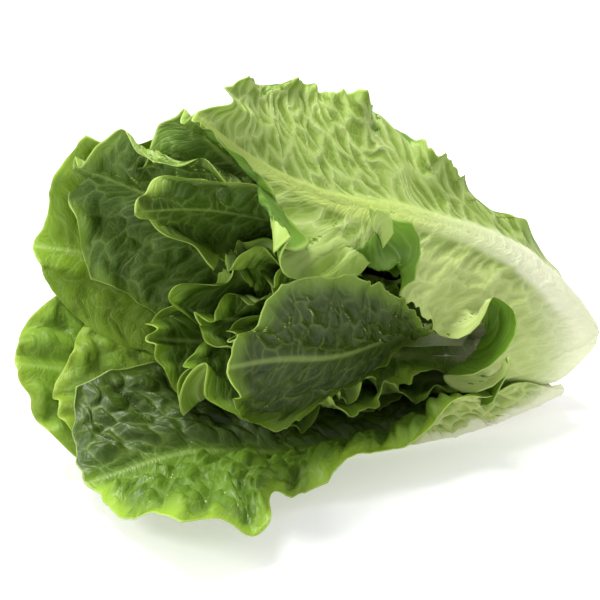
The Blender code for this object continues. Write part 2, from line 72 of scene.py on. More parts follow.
MARGIN_CLOSENESS = 1.4  # the power that brings a grid's columns closer near the rib


def unit(vector):
    return vector / np.linalg.norm(vector, axis=-1, keepdims=True)


AXIS = unit(OPENING - BUTT)
UP = unit(np.array((0.0, 0.0, 1.0)) - AXIS[2] * AXIS)
NEAR = np.cross(UP, AXIS)


def in_head(t, r, phi):
    """The point at t along the head's axis, r from it, and phi about it."""
    angle = math.radians(phi)
    return BUTT + t * AXIS + r * (math.cos(angle) * UP + math.sin(angle) * NEAR)


@dataclass
class Leaf:
    """A leaf. Pairs are for its side towards smaller phi, then its side towards larger phi. The values in
    each are evenly spaced from the leaf's base to its tip."""

    name: str
    rib: list  # (t, r, phi) along the midrib
    wide: tuple = ((10, 30, 44, 50, 30), (10, 30, 44, 50, 30))  # the blade's half-widths
    lift: tuple = ((0, 0), (0, 0))  # how far the blade turns at the rib, positive towards the axis
    wrap: tuple = ((1, 1, 0.4), (1, 1, 0.4))  # how closely it follows a circle about the axis
    roll: tuple = ((0, 0), (0, 0))  # how far its margin turns further
    twist: tuple = (0, 0)
    stout: float = 1.0  # its rib's height, as a share of the outer leaves'
    blunt: tuple = (0.2, 0.2)  # how far the end falls back at the margins, as a share of the length
    frill: float = 6.0  # the height of the margin's waves
    waves: int = 6
    phase: float = 0.0
    cells: tuple = (16, 10)
    on_floor: bool = False
    colour: str = "leaf_green"


def inner_leaf(number, phi, course, half, phase, **others):
    """A ruffled leaf in the head's hollow. Its course is (t, r) along its midrib, all at one phi."""
    usual = {"wide": (half, half), "stout": 0.3, "frill": 8, "cells": (12, 8), "colour": "leaf_dark"}
    return Leaf(f"leaf_inner_{number}", [(t, r, phi) for t, r in course], phase=phase, **usual | others)


LOOSE = ((0.6, 0.6, 0.6), (0.6, 0.6, 0.6))  # the wrap of the innermost leaves

# The leaves from the outside in, which is also the order in which they left the stem.
LEAVES = [
    Leaf(
        "leaf_back_low",
        [(3, 20, 228), (60, 50, 228), (130, 65, 228), (200, 63, 228), (266, 66, 228)],
        wide=((12, 24, 28, 44, 44), (13, 34, 52, 60, 48)),
        frill=8, phase=0.6, on_floor=True, blunt=(0.12, 0.12),
    ),
    Leaf(
        "leaf_low",
        [(8, 18, 212), (60, 39, 214), (130, 53, 214), (195, 57, 212), (250, 62, 208)],
        wide=((10, 16, 18, 26, 30), (11, 34, 50, 56, 46)),
        wrap=((1, 1, 1, 1), (1, 1, 1, 1)),
        frill=7, phase=1.7, stout=0.6, on_floor=True, blunt=(0.12, 0.12), cells=(14, 8),
    ),
    Leaf(
        "leaf_bottom",
        [(4, 20, 150), (60, 46, 165), (142, 65, 177), (191, 68, 183), (243, 84, 178)],
        wide=((10, 42, 62, 52, 52, 92, 88), (14, 46, 54, 52, 52, 58, 52)),
        lift=((0, 0, 0, 0, -12, -16, -10), (0, 0, 0, 10, 20, 25, 30)),
        wrap=((1, 1, 1, 0.6, 0, -0.1, -0.1), (1, 0.9, 0.9, 1, 1.3, 1.5, 1.2)),
        roll=((0, -40, -80, -40, 0, 0), (0, 0, 0, 0, 30)),
        frill=4, on_floor=True, blunt=(0.0, 0.08), cells=(20, 12),
    ),
    Leaf(
        "leaf_top",
        [
            (-3, 24, 48), (24, 41, 37), (60, 57, 26), (120, 67, 21), (170, 69, 18), (205, 80, 15),
            (235, 97, 14),
        ],
        wide=((14, 18, 25, 35, 56, 56, 40), (34, 76, 80, 66, 50, 34, 30, 18, 10)),
        lift=((0, -10, -15, -15, -10), (0, 0)),
        wrap=((1, 0.5, 0.1, 0.1, 0.1), (1, 1, 1, 0.9, 0.6)),
        frill=7, blunt=(0.1, 0.12), cells=(20, 12), colour="leaf_pale",
    ),
    Leaf(
        "leaf_back",
        [(7, 18, 275), (60, 41, 275), (120, 55, 275), (190, 66, 275), (254, 84, 275)],
        wide=((12, 34, 50, 54, 44), (12, 36, 58, 74, 58)),
        frill=8, phase=2.9, stout=0.8, blunt=(0.12, 0.04), cells=(18, 12),
    ),
    Leaf(
        "leaf_back_top",
        [(12, 16, 335), (60, 36, 335), (130, 52, 335), (180, 68, 335), (220, 88, 335)],
        wide=((10, 30, 48, 58, 56), (10, 26, 34, 44, 40)),
        frill=8, phase=4.1, stout=0.6, blunt=(0.02, 0.12), colour="leaf_dark",
    ),
    Leaf(
        "leaf_back_high",
        [(14, 16, 305), (60, 35, 305), (130, 49, 305), (195, 66, 304), (248, 87, 303)],
        wide=((10, 32, 52, 64, 52), (10, 32, 48, 62, 50)),
        roll=((0, 0), (0, 0, 0, 60, 60)),
        frill=10, phase=5.3, stout=0.5, blunt=(0.12, 0.12), cells=(18, 12), colour="leaf_dark",
    ),
    Leaf(
        "leaf_curled_tip",
        [(16, 14, 355), (60, 28, 352), (110, 42, 350), (166, 50, 352), (205, 51, 352), (244, 48, 350)],
        wide=((9, 22, 32, 38, 30), (9, 18, 24, 36, 30)),
        roll=((0, 0, 0, 90, 90), (0, 0, 0, 70, 80)),
        twist=(0, 0, 0, -60, -75),
        frill=4, phase=0.3, stout=0.4,
    ),
    inner_leaf(
        1, 240, [(18, 13), (60, 27), (130, 38), (212, 46)], (9, 22, 36, 48, 36), 1.1, frill=9, cells=(14, 10)
    ),
    inner_leaf(
        2, 285, [(20, 12), (60, 26), (130, 36), (217, 46)], (9, 22, 36, 48, 36), 2.3, frill=9, cells=(14, 10)
    ),
    inner_leaf(
        3, 205, [(22, 11), (60, 24), (130, 34), (202, 44)], (9, 20, 34, 46, 34), 3.4, frill=9, cells=(14, 8)
    ),
    inner_leaf(
        4, 320, [(24, 11), (60, 24), (130, 33), (207, 42)], (8, 18, 32, 42, 32), 4.6, cells=(14, 8),
        wide=((8, 18, 32, 42, 32), (8, 18, 28, 38, 30)),
    ),
    inner_leaf(5, 260, [(26, 10), (60, 19), (120, 26), (192, 30)], (7, 12, 24, 36, 26), 5.8, wrap=LOOSE),
    inner_leaf(6, 225, [(28, 9), (60, 15), (120, 22), (182, 27)], (7, 11, 22, 36, 26), 0.9, wrap=LOOSE),
    inner_leaf(
        7, 310, [(30, 8), (60, 15), (120, 22), (185, 28)], (7, 11, 20, 32, 24), 2.1, wrap=LOOSE, frill=7
    ),
    Leaf(
        "leaf_middle",
        [(55, 3, 285), (72, 3, 300), (90, 7, 40), (112, 18, 75), (153, 37, 92), (197, 52, 90), (216, 60, 92)],
        wide=((4, 8, 18, 30, 40, 42, 26), (4, 8, 24, 44, 44, 48, 46)),
        wrap=((0.1, 0), (0.1, 0)),
        frill=5, phase=3.3, stout=0.5, blunt=(0.12, 0.0), cells=(18, 12), colour="leaf_dark",
    ),
]


def smooth(x):
    """0 below 0 and 1 above 1, with a soft rise between."""
    x = np.clip(x, 0.0, 1.0)
    return x * x * (3 - 2 * x)


def along(values, f):
    """A leaf's values, evenly spaced from base to tip, blended at fractions f of its length."""
    values = np.asarray(values, float)
    place = np.clip(f, 0, 1) * (len(values) - 1)
    k = np.clip(place.astype(int), 0, len(values) - 2)
    return values[k] + (values[k + 1] - values[k]) * smooth(place - k)


def both_sides(values, v, f):
    """The same for a pair of threes, by which side of the rib v is on."""
    return np.where(v < 0, along(values[0], f), along(values[1], f))


def bell(distance, width):
    """1 at no distance, and down to nothing a few widths away."""
    return np.exp(-((distance / width) ** 2))


def uneven(angle, count, phase, shares=(0.62, 0.38, 0.22), faster=(1.63, 2.71)):
    """Waves between about -1 and 1, uneven as on a real leaf's margin."""
    return (
        shares[0] * np.sin(count * angle + phase)
        + shares[1] * np.sin(faster[0] * count * angle + 2.3 * phase + 1.0)
        + shares[2] * np.sin(faster[1] * count * angle + 4.1 * phase + 2.0)
    )


def grid_places(rows, columns):
    """How far along a leaf (0 to 1), and across it (-1 to 1), the points of its grid lie."""
    u = np.linspace(0, 1, rows + 1)[:, None] * np.ones((1, columns + 1))
    spread = np.linspace(-1, 1, columns + 1)[None, :] * np.ones_like(u)
    return u, np.sign(spread) * np.abs(spread) ** MARGIN_CLOSENESS


def grid_index(shape):
    """The number of each of a grid's vertices, and the four corners of each of its cells."""
    index = np.arange(shape[0] * shape[1]).reshape(shape[0], shape[1])
    return index, (index[:-1, :-1], index[:-1, 1:], index[1:, :-1], index[1:, 1:])


def grid_triangles(shape):
    _, (a, b, c, d) = grid_index(shape)
    return np.concatenate((np.stack((a, b, d), -1).reshape(-1, 3), np.stack((a, d, c), -1).reshape(-1, 3)))


def rim_of(index):
    """A grid's rim as a loop of vertices, and the next vertex after each."""
    rim = np.concatenate((index[0, :-1], index[:-1, -1], index[-1, :0:-1], index[:0:-1, 0]))
    return rim, np.roll(rim, -1)


def mean_around(values, **padding):
    """The mean of the four points beside each point of a grid."""
    padded = np.pad(values, ((1, 1), (1, 1)) + ((0, 0),) * (values.ndim - 2), **padding)
    return (padded[:-2, 1:-1] + padded[2:, 1:-1] + padded[1:-1, :-2] + padded[1:-1, 2:]) / 4


def evened(values, times):
    """Values over a grid, each brought towards the mean of those around it."""
    for _ in range(times):
        values = 0.5 * values + 0.5 * mean_around(values, mode="edge")
    return values


class Rib:
    """A midrib's curve, read evenly along its length, with a frame carried along it without turning."""

    SAMPLES = 160

    def __init__(self, leaf):
        knots = np.array([in_head(*point) for point in leaf.rib])
        at = np.concatenate(([0], np.cumsum(np.linalg.norm(np.diff(knots, axis=0), axis=1))))
        slopes = np.gradient(knots, at, axis=0)
        s = np.linspace(0, at[-1], 4 * self.SAMPLES)
        k = np.clip(np.searchsorted(at, s, side="right") - 1, 0, len(at) - 2)
        gap = (at[k + 1] - at[k])[:, None]
        x = ((s - at[k])[:, None]) / gap
        curve = (
            knots[k] * (1 + 2 * x) * (1 - x) ** 2
            + knots[k + 1] * x**2 * (3 - 2 * x)
            + slopes[k] * gap * x * (1 - x) ** 2
            - slopes[k + 1] * gap * x**2 * (1 - x)
        )
        run = np.concatenate(([0], np.cumsum(np.linalg.norm(np.diff(curve, axis=0), axis=1))))
        self.length = run[-1]
        self.at = np.linspace(0, 1, self.SAMPLES)
        self.points = self.read_from(curve, run / self.length, self.at)
        self.along = unit(np.gradient(self.points, axis=0))
        self.side = self.carry_side(leaf.rib[0][2])
        self.inward = np.cross(self.side, self.along)
        offset = self.points - BUTT
        self.radius = np.linalg.norm(offset - (offset @ AXIS)[:, None] * AXIS, axis=1)

    @staticmethod
    def read_from(values, at, f):
        return np.stack([np.interp(f, at, values[:, i]) for i in range(3)], axis=-1)

    def carry_side(self, phi):
        """The sideways direction: round the axis at the base, and then carried along the curve."""
        angle = math.radians(phi)
        side = -math.sin(angle) * UP + math.cos(angle) * NEAR
        sides = []
        for forward in self.along:
            side = unit(side - (side @ forward) * forward)
            sides.append(side)
        return np.array(sides)

    def frame(self, f, twist):
        """Points, side and inward directions at fractions f, turned by twist."""
        points = self.read_from(self.points, self.at, f)
        side = unit(self.read_from(self.side, self.at, f))
        inward = unit(self.read_from(self.inward, self.at, f))
        turn = np.radians(twist)[..., None]
        return (
            points,
            np.cos(turn) * side + np.sin(turn) * inward,
            np.cos(turn) * inward - np.sin(turn) * side,
        )


SECTION_STEPS = 24
ROLLED_PART = 0.45  # the share of the half-width, at the margin, that a roll turns
LEAST_RADIUS = 12.0
FRILL_WAVES = ((0.60, 0.35, 0.20), (1.6, 2.7))  # the waves' shares, and how much faster they run


def normals_of(grid):
    """The inward normal at each point of a leaf's grid."""
    return unit(np.cross(np.gradient(grid, axis=1), np.gradient(grid, axis=0)))


def leaf_grid(leaf):
    """The middle surface of a leaf as a grid of points, and its rib's height at each."""
    u, v = grid_places(*leaf.cells)
    f = u - np.where(v < 0, leaf.blunt[0], leaf.blunt[1]) * u**3 * v**2
    rib = Rib(leaf)
    points, side, inward = rib.frame(f, along(leaf.twist, f))
    half = both_sides(leaf.wide, v, u)
    across = np.abs(v) * half
    radius = np.maximum(np.interp(f, rib.at, rib.radius), LEAST_RADIUS)
    out = np.zeros_like(u)
    up = np.zeros_like(u)
    for k in range(SECTION_STEPS):
        w = across * (k + 0.5) / SECTION_STEPS
        theta = (
            np.radians(both_sides(leaf.lift, v, f))
            + both_sides(leaf.wrap, v, f) * w / radius
            + np.radians(both_sides(leaf.roll, v, f)) * smooth((w / half - (1 - ROLLED_PART)) / ROLLED_PART)
        )
        out += np.cos(theta) * across / SECTION_STEPS
        up += np.sin(theta) * across / SECTION_STEPS
    grid = points + side * (np.sign(v) * out)[..., None] + inward * up[..., None]
    angle = np.arctan2(v * half, (f - 0.6) * rib.length)
    edge = (np.abs(v) ** 6 + np.clip((u - 0.4) / 0.6, 0, 1) ** 6) ** (1 / 6)
    waves = uneven(angle, leaf.waves, leaf.phase, *FRILL_WAVES)
    frill = leaf.frill * np.clip(edge, 0, 1) ** 2.5 * smooth((u - 0.08) / 0.3) * waves
    grid += normals_of(grid) * frill[..., None]
    width = along((RIB_HALF_WIDTH[0], RIB_HALF_WIDTH[0] * 0.4, RIB_HALF_WIDTH[1]), f)
    height = along((RIB_HEIGHT[0], RIB_HEIGHT[0] * 0.55, RIB_HEIGHT[1]), f)
    return grid, leaf.stout * height * bell(across, width)


def solid_faces(shape):
    """The faces of a leaf's solid: its inner side's triangles, its outer side's, and its rim's."""
    count = shape[0] * shape[1]
    inside = grid_triangles(shape)
    rim, beside = rim_of(grid_index(shape)[0])
    edge = (np.stack((beside, rim, rim + count), 1), np.stack((beside, rim + count, beside + count), 1))
    return np.concatenate((inside, inside[:, ::-1] + count) + edge)


def solid_points(grid, rib, lowest):
    """The points of a leaf's solid: the blade's two sides, with the rib standing out on the outer one."""
    normals = normals_of(grid)
    inner = grid + normals * BLADE / 2
    outer = grid - normals * (BLADE / 2 + rib[..., None])
    points = np.concatenate((inner.reshape(-1, 3), outer.reshape(-1, 3)))
    points[:, 2] = np.maximum(points[:, 2], lowest)
    return points


class Skin:
    """A leaf's middle surface while the leaves are being moved clear of each other."""

    def __init__(self, grid, rib):
        rows, columns = grid.shape[0] - 1, grid.shape[1] - 1
        index, (a, _, _, d) = grid_index(grid.shape)
        self.shape = grid.shape
        self.solid_faces = solid_faces(grid.shape)
        self.start = grid.reshape(-1, 3).copy()
        self.points = self.start.copy()
        self.rib = rib.ravel()
        self.triangles = grid_triangles(grid.shape)
        self.faces = [tuple(face) for face in self.triangles.tolist()]
        # Places that are watched: every vertex, and halfway between the two ends of every edge.
        pairs = [(index, index), (index[:, :-1], index[:, 1:]), (index[:-1], index[1:]), (a, d)]
        self.ends = np.array([np.concatenate([p[k].ravel() for p in pairs]) for k in (0, 1)])
        row, column = np.meshgrid(np.arange(rows + 1), np.arange(columns + 1), indexing="ij")
        to_rim = np.minimum(np.minimum(row, rows - row), np.minimum(column, columns - column))
        self.to_rim = to_rim.ravel().astype(float)
        # The vertex that each one is drawn back towards: the next one in from the nearest margin.
        from_side = np.minimum(column, columns - column)
        at_tip = rows - row < from_side
        inner_row = np.where(at_tip, row - 1, row)
        inner_column = np.where(at_tip, column, column - np.sign(column - columns // 2))
        self.next_in = (inner_row * (columns + 1) + inner_column).ravel()
        self.drawn_back = np.zeros(len(self.points))
        self.push = np.zeros_like(self.points)
        self.pushes = np.zeros(len(self.points))
        self.look_again()

    def look_again(self):
        self.tree = BVHTree.FromPolygons(self.points.tolist(), self.faces)
        self.normals = normals_of(self.points.reshape(self.shape)).reshape(-1, 3)
        self.watched = (self.points[self.ends[0]] + self.points[self.ends[1]]) / 2
        self.low = self.points.min(axis=0) - REACH
        self.high = self.points.max(axis=0) + REACH

    def add_push(self, vertices, weights, pushes):
        """Note pushes on places between vertices: all three are arrays with a row for each place."""
        for k in range(vertices.shape[1]):
            np.add.at(self.push, vertices[:, k], weights[:, k, None] * pushes)
            np.add.at(self.pushes, vertices[:, k], weights[:, k])

    def move(self, evenness):
        """Make the noted pushes, evened out over the leaf so that it keeps its shape."""
        self.points += self.push / np.maximum(self.pushes, 0.5)[:, None]
        self.points += self.drawn_back[:, None] * (self.points[self.next_in] - self.points)
        self.drawn_back[:] = 0
        moved = (self.points - self.start).reshape(self.shape)
        moved += evenness * (mean_around(moved, mode="edge") - moved)
        self.points = self.start + moved.reshape(-1, 3)
        self.smooth_out(self.folded())
        self.push[:] = 0
        self.pushes[:] = 0

    def smooth_out(self, vertices):
        """Bring vertices halfway to the mean of those around them."""
        mean = mean_around(self.points.reshape(self.shape), mode="reflect", reflect_type="odd")
        self.points[vertices] += 0.5 * (mean.reshape(-1, 3) - self.points)[vertices]

    def solid_tree(self):
        points = solid_points(self.points.reshape(self.shape), self.rib.reshape(self.shape[:2]), -REACH)
        return BVHTree.FromPolygons(points.tolist(), self.solid_faces.tolist())

    def folded(self):
        """The vertices of triangles that have turned far from the leaf around them."""
        corners = self.points[self.triangles]
        facing = unit(np.cross(corners[:, 1] - corners[:, 0], corners[:, 2] - corners[:, 0]) + 1e-9)
        around = np.zeros_like(self.points)
        for k in range(3):
            np.add.at(around, self.triangles[:, k], facing)
        around = unit(around + 1e-9)
        agreement = np.einsum("nkd,nd->nk", around[self.triangles], facing).min(axis=1)
        return np.unique(self.triangles[agreement < FOLDED])


def keep_apart(outer, inner, clearance, stuck):
    """Note pushes that bring the inner leaf to the outer leaf's inner side, clear of it."""
    if np.any(outer.high < inner.low) or np.any(inner.high < outer.low):
        return
    for moving, other, side in ((inner, outer, 1), (outer, inner, -1)):
        near = np.flatnonzero(np.all((moving.watched > other.low) & (moving.watched < other.high), axis=1))
        found = [other.tree.find_nearest(point, REACH) for point in moving.watched[near].tolist()]
        kept = [k for k, hit in enumerate(found) if hit[0] is not None]
        if not kept:
            continue
        near = near[kept]
        at = np.array([found[k][0] for k in kept])
        corners = other.triangles[[found[k][2] for k in kept]]
        weights = shares_of_corners(other.points[corners], at)
        normal = unit(np.einsum("nk,nkd->nd", weights, other.normals[corners]))
        rib = np.einsum("nk,nk->n", weights, other.rib[corners])
        ends = moving.ends[:, near]
        rib = np.maximum(moving.rib[ends[0]], moving.rib[ends[1]]) if side > 0 else rib
        wanted = BLADE + clearance + rib
        offset = moving.watched[near] - at
        distance = np.linalg.norm(offset, axis=1)
        height = side * np.einsum("nd,nd->n", offset, normal)
        beside = np.einsum("nk,nk->n", weights, other.to_rim[corners]) < 0.02
        direction = np.where(
            (beside & (distance > 0.01))[:, None], offset / np.maximum(distance, 0.01)[:, None], side * normal
        )
        short = wanted - np.where(beside, distance, height)
        short = np.where(height > 0.8 * wanted, np.minimum(short, wanted - distance), short)
        pick = short > 0
        push = direction[pick] * short[pick, None]
        share = INNER_SHARE if moving is inner else 1 - INNER_SHARE
        moving.add_push(ends[:, pick].T, np.full((pick.sum(), 2), 0.5), share * push)
        other.add_push(corners[pick], weights[pick], -(1 - share) * push)
    crossing = outer.tree.overlap(inner.tree)
    if crossing:
        first, second = (np.array(k) for k in zip(*crossing))
        first, second = outer.triangles[first], inner.triangles[second]
        push_across(outer, inner, first, second, CROSSING_PUSH)
        if stuck:
            inner.drawn_back[np.unique(second)] = 0.15
            outer.drawn_back[np.unique(first)] = 0.05


def push_across(outer, inner, first, second, far):
    """Note pushes that part crossing triangles, given by their vertices in the two leaves."""
    normal = unit(outer.normals[first].sum(axis=1))
    third = np.full((len(first), 3), 1.0)
    inner.add_push(second, third, INNER_SHARE * far * normal)
    outer.add_push(first, third, (INNER_SHARE - 1) * far * normal)


def shares_of_corners(corners, at):
    """How far each corner of a triangle counts towards a place in it."""
    a, b, c = corners[:, 0], corners[:, 1], corners[:, 2]
    across = np.cross(b - a, c - a)
    area = np.maximum(np.einsum("nd,nd->n", across, across), 1e-9)
    of_b = np.einsum("nd,nd->n", np.cross(at - a, c - a), across) / area
    of_c = np.einsum("nd,nd->n", np.cross(b - a, at - a), across) / area
    weights = np.clip(np.stack((1 - of_b - of_c, of_b, of_c), axis=1), 0, 1)
    return weights / weights.sum(axis=1, keepdims=True)


def keep_off_stem_and_floor(skin, on_floor):
    """Move a leaf's vertices out of the stem and up from the floor."""
    offset = skin.points - BUTT
    t = offset @ AXIS
    sideways = offset - t[:, None] * AXIS
    distance = np.linalg.norm(sideways, axis=1)
    wanted = np.interp(t, *zip(*STEM_PROFILE[1:]), right=-BLADE) + BLADE / 2 + STEM_GAP
    wanted = np.where(t < STEM_PROFILE[-1][0] + STEM_GAP, wanted, 0)
    short = np.maximum(wanted - distance, 0)
    skin.points += sideways / np.maximum(distance, 0.1)[:, None] * short[:, None]
    lowest = BLADE / 2 + skin.rib + (0 if on_floor else FLOOR_GAP)
    skin.points[:, 2] = np.maximum(skin.points[:, 2], lowest)


def part_solids(skins):
    """Note pushes where the leaves' solids still cross, and smooth where one crosses itself. The number
    of crossings is returned."""
    crossings = 0
    trees = [skin.solid_tree() for skin in skins]
    for i, outer in enumerate(skins):
        own = np.array(trees[i].overlap(trees[i]), int).reshape(-1, 2)
        first, second = (outer.solid_faces[own[:, k]] for k in (0, 1))
        apart = ~np.any(first[:, :, None] == second[:, None, :], axis=(1, 2))
        if apart.any():
            crossings += int(apart.sum())
            outer.smooth_out(np.unique(first[apart] % len(outer.points)))
        for j in range(i + 1, len(skins)):
            inner = skins[j]
            found = trees[i].overlap(trees[j])
            if not found:
                continue
            crossings += len(found)
            first, second = (np.array(k) for k in zip(*found))
            first = outer.solid_faces[first] % len(outer.points)
            second = inner.solid_faces[second] % len(inner.points)
            push_across(outer, inner, first, second, 1.0)
            inner.drawn_back[np.unique(second)] = 0.1
    return crossings


def settle(grids):
    """Move the leaves, given from the outside in, until each lies clear of all the others."""
    skins = [Skin(grid, rib) for grid, rib in grids]
    for step in range(SETTLE_ROUNDS + LAST_ROUNDS):
        last = step >= SETTLE_ROUNDS
        clearance = LEAST_CLEARANCE if last else CLEARANCE
        for i, outer in enumerate(skins):
            for inner in skins[i + 1 :]:
                keep_apart(outer, inner, clearance, step > STUCK_AFTER * SETTLE_ROUNDS)
        crossings = part_solids(skins) if last else None
        if crossings == 0:
            break
        evenness = EVENNESS * max(0.0, 1 - step / (EVENED_UNTIL * SETTLE_ROUNDS))
        for leaf, skin in zip(LEAVES, skins):
            skin.move(evenness)
            keep_off_stem_and_floor(skin, leaf.on_floor)
            skin.look_again()
    return [(skin.points.reshape(skin.shape), rib) for skin, (_, rib) in zip(skins, grids)]


def rest_on_floor(z, soft=3.0):
    """Heights with all that would hang below the floor laid out on it."""
    return soft * np.logaddexp(0, z / soft)


def settled_leaves():
    """Every leaf's settled grid and its rib's height there."""
    grids = []
    for leaf in LEAVES:
        grid, rib = leaf_grid(leaf)
        grid[..., 2] = rest_on_floor(grid[..., 2])
        grids.append((grid, rib))
    return settle(grids)


# ---------------------------------------------------------------- the fine leaves

FINE_BLADE = 0.5
VEIN_SPACING = 24.0  # between side veins
CELL = 8.0  # a blister between the smallest raised veins
CELL_DRAW = 0.62  # blisters are drawn out along the side veins by one part in this
SIDE_VEIN_SLOPE = 0.75  # how far towards the tip a side vein runs for each millimetre across


@dataclass
class Look:
    """A leaf's finish. A curl is (side, fraction of the length, spread, angle, where it starts, over how
    much of the half-width, stretch, slant, fan). There the blade is turned by the angle, outwards if
    negative, about an axis slanted from the leaf's length, made wider by the stretch, and fanned out in
    its own plane."""

    inner: tuple = (60, 86, 22)
    edge: tuple = (130, 164, 50)
    outer: tuple = (152, 180, 82)
    spots: tuple = (124, 154, 56)  # on the outer side, between the small veins
    through: float = 0.2  # the share of light that passes through the blade
    gloss: float = 0.2
    far_painted_shade: float = 0.0  # painted shade: how much darker its inner side is drawn towards larger phi, where the real leaf lies in shadow
    near_painted_light: float = 0.0  # painted light: how much paler its outer side is drawn there, near the base, where the real leaf is lit
    veined: float = 0.7  # how plain its veins are on the inner side
    curls: tuple = ()
    ripple: float = 70.0  # how far the margin's waves turn it, in degrees
    tip_ripple: float = 55.0
    waves: float = 8.0
    lobes: float = 1.6
    teeth: float = 0.5
    blister: float = 1.3
    flat_margin: float = 9.0
    middle: tuple = (64, 48)
    cells: tuple = (110, 88)
    white: float = 0.3  # how far up from the base the blade is pale


LOOKS = {
    # leaf_top's outer side carries painted light near the base, towards larger phi
    "leaf_top": Look(
        inner=(78, 112, 34), edge=(104, 142, 46), outer=(152, 178, 86), spots=(122, 148, 58),
        through=0.3, near_painted_light=0.75, white=0.42, blister=0.85,
        curls=(
            (1, 0.64, 0.05, -165, 0.42, 0.3, 0.0, 25, 0),
            (1, 0.64, 0.04, 0, 0.0, 1.0, 0.9, 0, 0),
            (1, 0.79, 0.07, -45, 0.1, 0.6, 1.2, 0, 55),
            (1, 0.755, 0.02, 35, 0.4, 0.5, 0.0, 0, 0),
            (1, 0.82, 0.025, 35, 0.4, 0.5, 0.0, 0, 0),
            (1, 0.34, 0.04, -170, 0.52, 0.2, 0.0, 25, 0),
            (1, 0.22, 0.04, -165, 0.68, 0.2, 0.0, 15, 0),
            (-1, 0.57, 0.035, 30, 0.6, 0.4, 0.5, 0, 0),
        ),
        ripple=40, tip_ripple=14, waves=10, lobes=2.0, teeth=1.3, middle=(96, 60), cells=(200, 160),
    ),
    # leaf_bottom's inner side carries painted shade on its far half
    "leaf_bottom": Look(
        inner=(92, 124, 36), edge=(150, 184, 54), outer=(164, 184, 84), through=0.25, gloss=0.4,
        far_painted_shade=1.0, blister=3.4, ripple=18, tip_ripple=6, waves=6, lobes=1.2, cells=(200, 160),
    ),
    "leaf_middle": Look(
        inner=(46, 62, 14), edge=(104, 132, 42), veined=0.35, blister=2.2, flat_margin=16,
        ripple=28, tip_ripple=15, waves=5, cells=(150, 120),
    ),
    "leaf_back": Look(
        inner=(106, 134, 38), edge=(124, 154, 50), through=0.3, blister=0.8,
        ripple=12, tip_ripple=15, waves=6, lobes=2.2, cells=(130, 100),
    ),
    "leaf_inner_4": Look(
        inner=(90, 118, 40), edge=(138, 166, 62), outer=(128, 156, 72), through=0.25,
        ripple=75, tip_ripple=60,
    ),
    "leaf_back_high": Look(
        inner=(66, 90, 30), edge=(104, 132, 48), outer=(122, 150, 66),
        curls=((1, 0.78, 0.07, 40, 0.4, 0.5, 0.2, 0, 0),),
        ripple=35, tip_ripple=20, middle=(96, 60), cells=(130, 100),
    ),
    "leaf_back_top": Look(inner=(76, 102, 38), edge=(108, 138, 52), tip_ripple=25),
    "leaf_curled_tip": Look(
        inner=(62, 86, 28), edge=(136, 162, 64), outer=(140, 166, 80),
        ripple=25, tip_ripple=20, cells=(130, 100),
    ),
    "leaf_back_low": Look(
        inner=(106, 138, 44), edge=(140, 168, 58), through=0.3, blister=2.2,
        ripple=30, tip_ripple=15, lobes=2.2,
    ),
    "leaf_low": Look(
        inner=(112, 142, 46), edge=(148, 174, 62), through=0.3, blister=2.0, ripple=30, tip_ripple=15
    ),
}


def finer(values, count):
    """Values along the first axis, read at count + 1 even places on a cubic B-spline."""
    last = len(values) - 1
    padded = np.concatenate((2 * values[:1] - values[1:2], values, 2 * values[-1:] - values[-2:-1]))
    at = np.linspace(0, last, count + 1)
    k = np.minimum(at.astype(int), last - 1)
    x = (at - k).reshape((-1,) + (1,) * (values.ndim - 1))
    return (
        (1 - x) ** 3 * padded[k]
        + (3 * x**3 - 6 * x**2 + 4) * padded[k + 1]
        + (-3 * x**3 + 3 * x**2 + 3 * x + 1) * padded[k + 2]
        + x**3 * padded[k + 3]
    ) / 6


def finer_grid(grid, rows, columns):
    return finer(finer(grid, rows).swapaxes(0, 1), columns).swapaxes(0, 1)


class Places:
    """Where the points of a leaf's grid lie in the leaf, in millimetres."""

    def __init__(self, leaf, rows, columns):
        self.u, self.v = grid_places(rows, columns)
        length = Rib(leaf).length
        half = both_sides(leaf.wide, self.v, self.u)
        self.across = self.v * half
        self.along = self.u * length
        self.from_side = (1 - np.abs(self.v)) * half
        self.from_tip = (1 - self.u) * length
        self.margin = 1 / (1 / (self.from_side + 0.01) ** 3 + 1 / (self.from_tip + 0.01) ** 3) ** (1 / 3)
        # How far along its margin each point is, from the base on one side, round the tip.
        self.round = np.arctan2(self.across, self.along - 0.55 * length)


def turned(steps, axis, angle):
    """Steps turned about unit axes by angles."""
    cosine, sine = np.cos(angle)[..., None], np.sin(angle)[..., None]
    along_axis = np.einsum("...d,...d->...", steps, axis)[..., None]
    return cosine * steps + sine * np.cross(axis, steps) + (1 - cosine) * along_axis * axis


def halfway(values, axis):
    first = np.take(values, range(values.shape[axis] - 1), axis)
    return (first + np.take(values, range(1, values.shape[axis]), axis)) / 2


RIPPLED_PART = 0.4  # the share of the half-width, at the margin, that ripples
RIPPLED_TIP = 0.22  # the share of the length, at the tip, that ripples


